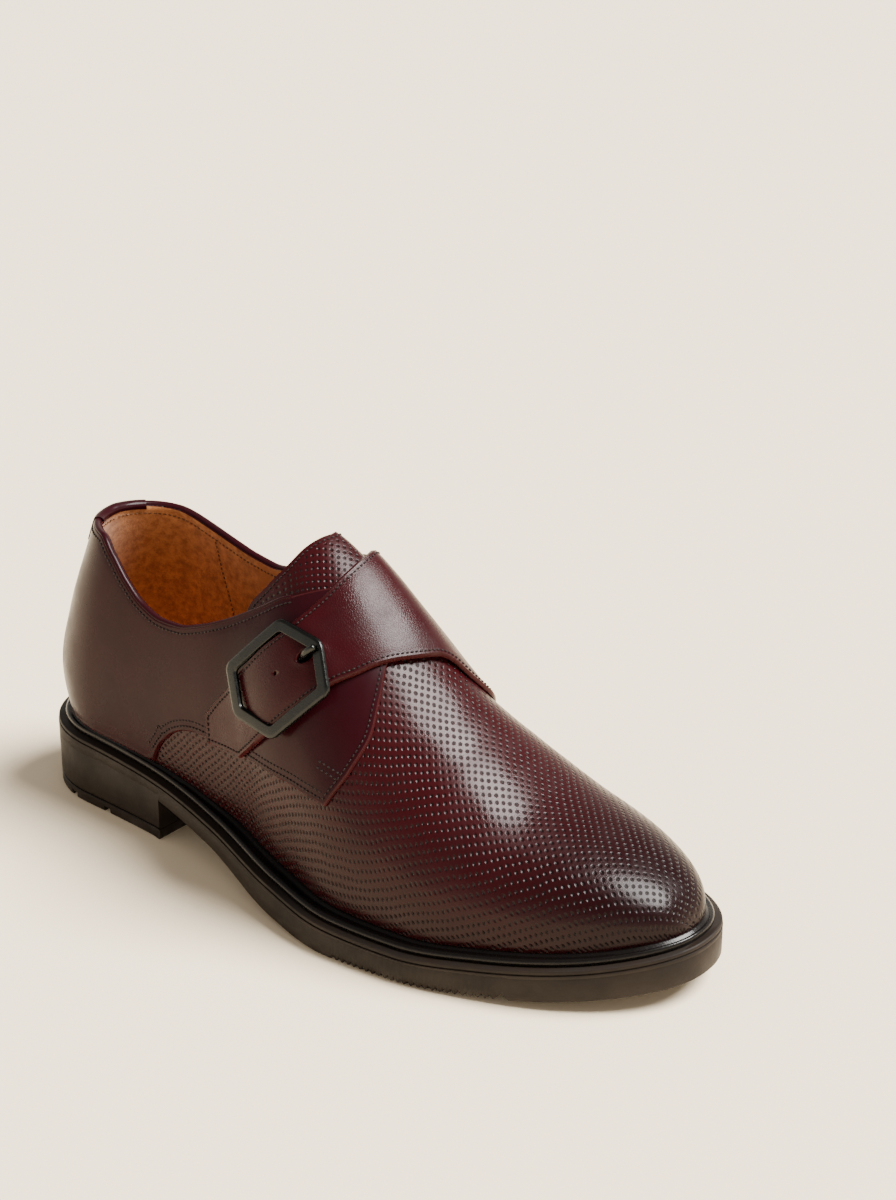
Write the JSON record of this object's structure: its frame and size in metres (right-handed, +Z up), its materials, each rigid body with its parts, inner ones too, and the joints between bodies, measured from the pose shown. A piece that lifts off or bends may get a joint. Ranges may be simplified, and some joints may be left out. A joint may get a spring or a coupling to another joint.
{
  "type": "monk strap shoe",
  "caption": "Right low-cut dress shoe with a burgundy leather upper, a broad strap across the instep to a six-sided metal buckle, and a rubber sole with a low heel.",
  "frame": {"origin": "on the floor, at the middle of the shoe's bounding box seen from above", "axes": "+X from the heel to the toe, +Y to the medial side (the wearer's left, away from the buckle), +Z up"},
  "size_m": [0.3, 0.109, 0.129],
  "materials": {
    "vamp_leather": "pin-dot embossed, polished, darker towards the toe",
    "quarter_leather": "smooth, polished",
    "lining_tan": "matt",
    "sole_rubber": "matt dark brown",
    "welt_black": "satin near-black",
    "buckle_metal": "satin gunmetal"
  },
  "bodies": {
    "root": {"outsole": "sole_rubber", "heel_lift": "sole_rubber", "welt": "welt_black", "insole": "lining_tan", "upper": "vamp_leather", "tongue": "vamp_leather", "quarter_lateral": "quarter_leather", "quarter_medial": "quarter_leather", "heel_tab": "quarter_leather", "buckle_frame": "buckle_metal", "buckle_bar": "buckle_metal", "buckle_prong": "buckle_metal"}
  },
  "joints": []
}
